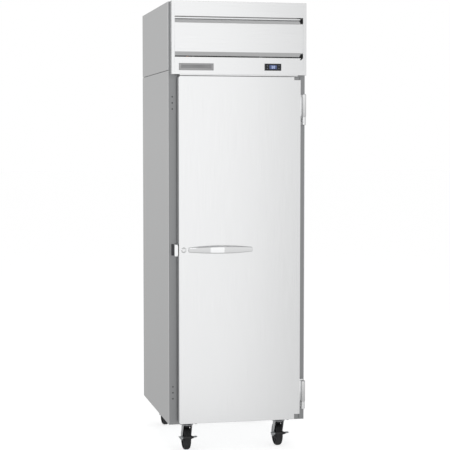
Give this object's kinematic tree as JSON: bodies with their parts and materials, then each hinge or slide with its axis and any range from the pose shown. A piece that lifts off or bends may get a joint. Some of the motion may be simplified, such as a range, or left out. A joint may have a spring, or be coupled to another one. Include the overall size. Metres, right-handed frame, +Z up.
{
  "type": "reach in refrigerator",
  "caption": "Tall reach-in commercial refrigerator with a solid hinged door, bowed pull handle, louvred header with controller, and swivel casters.",
  "frame": {"origin": "bottom centre of the overall box, on the floor", "axes": "+Z up, +X to the right seen from the front, front and door towards -Y"},
  "size_m": [0.6604, 0.86, 2.135],
  "materials": {
    "stainless_front": "fine brushed stainless sheet, satin",
    "stainless_side": "vertical-grain brushed stainless sheet",
    "frame_steel": "darker brushed steel",
    "galvanised": "zinc-coated sheet with a dull spangle",
    "foam": "rigid polyurethane foam",
    "liner_aluminium": "stucco-free anodised aluminium sheet",
    "coil_aluminium": "bare aluminium fins",
    "copper": "drawn copper tube",
    "shelf_wire": "epoxy coated wire",
    "pilaster_steel": "bright slotted steel strip",
    "chrome": "polished chrome plate",
    "hinge_chrome": "satin chrome plate",
    "gasket": "soft extruded vinyl",
    "nameplate": "dark satin plate, left blank",
    "controller_black": "black moulded plastic",
    "display": null,
    "lamp_white": "opal lens",
    "fan_plastic": "black moulded plastic",
    "black_enamel": "black semi-gloss enamel",
    "caster_zinc": "zinc plated pressed steel",
    "caster_rubber": "black polyurethane tread"
  },
  "bodies": {
    "cabinet": {"side_panel_left": "stainless_side", "side_panel_right": "stainless_side", "back_panel": "galvanised", "base_frame": "galvanised", "insulation": "foam", "inner_liner": "liner_aluminium", "face_frame": "frame_steel", "top_deck": "galvanised", "machine_shroud": "stainless_side", "header_frame": "stainless_front", "header_panel": "stainless_front", "header_louver": "stainless_front", "nameplate": "nameplate", "controller_bezel": "controller_black", "controller_display": "display", "evaporator_cover": "liner_aluminium", "evaporator_coil": "coil_aluminium", "led_light": "lamp_white", "pilaster_front_left": "pilaster_steel", "pilaster_front_right": "pilaster_steel", "pilaster_rear_left": "pilaster_steel", "pilaster_rear_right": "pilaster_steel", "compressor": "black_enamel", "condenser_coil": "coil_aluminium", "condenser_fan_motor": "black_enamel", "refrigerant_lines": "copper", "condensate_pan": "galvanised", "electrical_box": "galvanised", "lock_keeper": "chrome", "hinge_top_frame_half": "hinge_chrome", "hinge_bottom_frame_half": "hinge_chrome"},
    "door": {"door_skin": "stainless_front", "door_foam": "foam", "door_hinge_stile": "frame_steel", "door_liner": "liner_aluminium", "door_gasket": "gasket", "door_handle": "chrome", "lock_housing": "chrome", "hinge_top_door_half": "hinge_chrome", "hinge_bottom_door_half": "hinge_chrome"},
    "lock_plug": {"lock_plug": "chrome"},
    "condenser_fan": {"condenser_fan": "coil_aluminium"},
    "evaporator_fan": {"evaporator_fan": "fan_plastic"},
    "shelf_lower": {"shelf_lower": "shelf_wire"},
    "shelf_middle": {"shelf_middle": "shelf_wire"},
    "shelf_upper": {"shelf_upper": "shelf_wire"},
    "key_up": {"key_up": "controller_black"},
    "key_down": {"key_down": "controller_black"},
    "key_set": {"key_set": "controller_black"},
    "key_defrost": {"key_defrost": "controller_black"},
    "caster_fork_front_left": {"caster_fork_front_left": "caster_zinc"},
    "caster_fork_front_right": {"caster_fork_front_right": "caster_zinc"},
    "caster_fork_rear_left": {"caster_fork_rear_left": "caster_zinc"},
    "caster_fork_rear_right": {"caster_fork_rear_right": "caster_zinc"},
    "caster_wheel_front_left": {"caster_wheel_front_left": "caster_rubber"},
    "caster_wheel_front_right": {"caster_wheel_front_right": "caster_rubber"},
    "caster_wheel_rear_left": {"caster_wheel_rear_left": "caster_rubber"},
    "caster_wheel_rear_right": {"caster_wheel_rear_right": "caster_rubber"},
    "caster_brake_front_left": {"caster_brake_front_left": "black_enamel"},
    "caster_brake_front_right": {"caster_brake_front_right": "black_enamel"}
  },
  "joints": [
    {"name": "door_hinge", "type": "hinge", "parent": "cabinet", "child": "door", "pos_m": [0.314, -0.377, 0.974], "axis": [0, 0, 1], "range_deg": [0, 120], "stiffness_Nm_per_rad": 1.5, "springref_deg": -28.65},
    {"name": "lock_turn", "type": "hinge", "parent": "door", "child": "lock_plug", "pos_m": [-0.2674, -0.385, 0.979], "axis": [0, 1, 0], "range_deg": [0, 90]},
    {"name": "condenser_fan_spin", "type": "hinge", "parent": "cabinet", "child": "condenser_fan", "pos_m": [-0.05, -0.223, 1.9253], "axis": [0, 1, 0], "continuous": true},
    {"name": "evaporator_fan_spin", "type": "hinge", "parent": "cabinet", "child": "evaporator_fan", "pos_m": [0, -0.243, 1.704], "axis": [0, 1, 0], "continuous": true},
    {"name": "shelf_lower_lift", "type": "slide", "parent": "cabinet", "child": "shelf_lower", "axis": [0, 0, 1], "range_m": [0, 0.025]},
    {"name": "shelf_middle_lift", "type": "slide", "parent": "cabinet", "child": "shelf_middle", "axis": [0, 0, 1], "range_m": [0, 0.025]},
    {"name": "shelf_upper_lift", "type": "slide", "parent": "cabinet", "child": "shelf_upper", "axis": [0, 0, 1], "range_m": [0, 0.025]},
    {"name": "key_up_press", "type": "slide", "parent": "cabinet", "child": "key_up", "axis": [0, 1, 0], "range_m": [0, 0.0008], "stiffness_N_per_m": 600, "springref_m": -0.0008},
    {"name": "key_down_press", "type": "slide", "parent": "cabinet", "child": "key_down", "axis": [0, 1, 0], "range_m": [0, 0.0008], "stiffness_N_per_m": 600, "springref_m": -0.0008},
    {"name": "key_set_press", "type": "slide", "parent": "cabinet", "child": "key_set", "axis": [0, 1, 0], "range_m": [0, 0.0008], "stiffness_N_per_m": 600, "springref_m": -0.0008},
    {"name": "key_defrost_press", "type": "slide", "parent": "cabinet", "child": "key_defrost", "axis": [0, 1, 0], "range_m": [0, 0.0008], "stiffness_N_per_m": 600, "springref_m": -0.0008},
    {"name": "swivel_front_left", "type": "hinge", "parent": "cabinet", "child": "caster_fork_front_left", "pos_m": [-0.2272, -0.25, 0.125], "axis": [0, 0, 1], "continuous": true},
    {"name": "wheel_front_left_roll", "type": "hinge", "parent": "caster_fork_front_left", "child": "caster_wheel_front_left", "pos_m": [-0.2272, -0.2225, 0.0575], "axis": [1, 0, 0], "continuous": true},
    {"name": "brake_front_left_press", "type": "hinge", "parent": "caster_fork_front_left", "child": "caster_brake_front_left", "pos_m": [-0.2272, -0.2225, 0.0575], "axis": [1, 0, 0], "range_deg": [0, 18]},
    {"name": "swivel_front_right", "type": "hinge", "parent": "cabinet", "child": "caster_fork_front_right", "pos_m": [0.2272, -0.25, 0.125], "axis": [0, 0, 1], "continuous": true},
    {"name": "wheel_front_right_roll", "type": "hinge", "parent": "caster_fork_front_right", "child": "caster_wheel_front_right", "pos_m": [0.2272, -0.2225, 0.0575], "axis": [1, 0, 0], "continuous": true},
    {"name": "brake_front_right_press", "type": "hinge", "parent": "caster_fork_front_right", "child": "caster_brake_front_right", "pos_m": [0.2272, -0.2225, 0.0575], "axis": [1, 0, 0], "range_deg": [0, 18]},
    {"name": "swivel_rear_left", "type": "hinge", "parent": "cabinet", "child": "caster_fork_rear_left", "pos_m": [-0.2272, 0.345, 0.125], "axis": [0, 0, 1], "continuous": true},
    {"name": "wheel_rear_left_roll", "type": "hinge", "parent": "caster_fork_rear_left", "child": "caster_wheel_rear_left", "pos_m": [-0.2272, 0.3725, 0.0575], "axis": [1, 0, 0], "continuous": true},
    {"name": "swivel_rear_right", "type": "hinge", "parent": "cabinet", "child": "caster_fork_rear_right", "pos_m": [0.2272, 0.345, 0.125], "axis": [0, 0, 1], "continuous": true},
    {"name": "wheel_rear_right_roll", "type": "hinge", "parent": "caster_fork_rear_right", "child": "caster_wheel_rear_right", "pos_m": [0.2272, 0.3725, 0.0575], "axis": [1, 0, 0], "continuous": true}
  ]
}
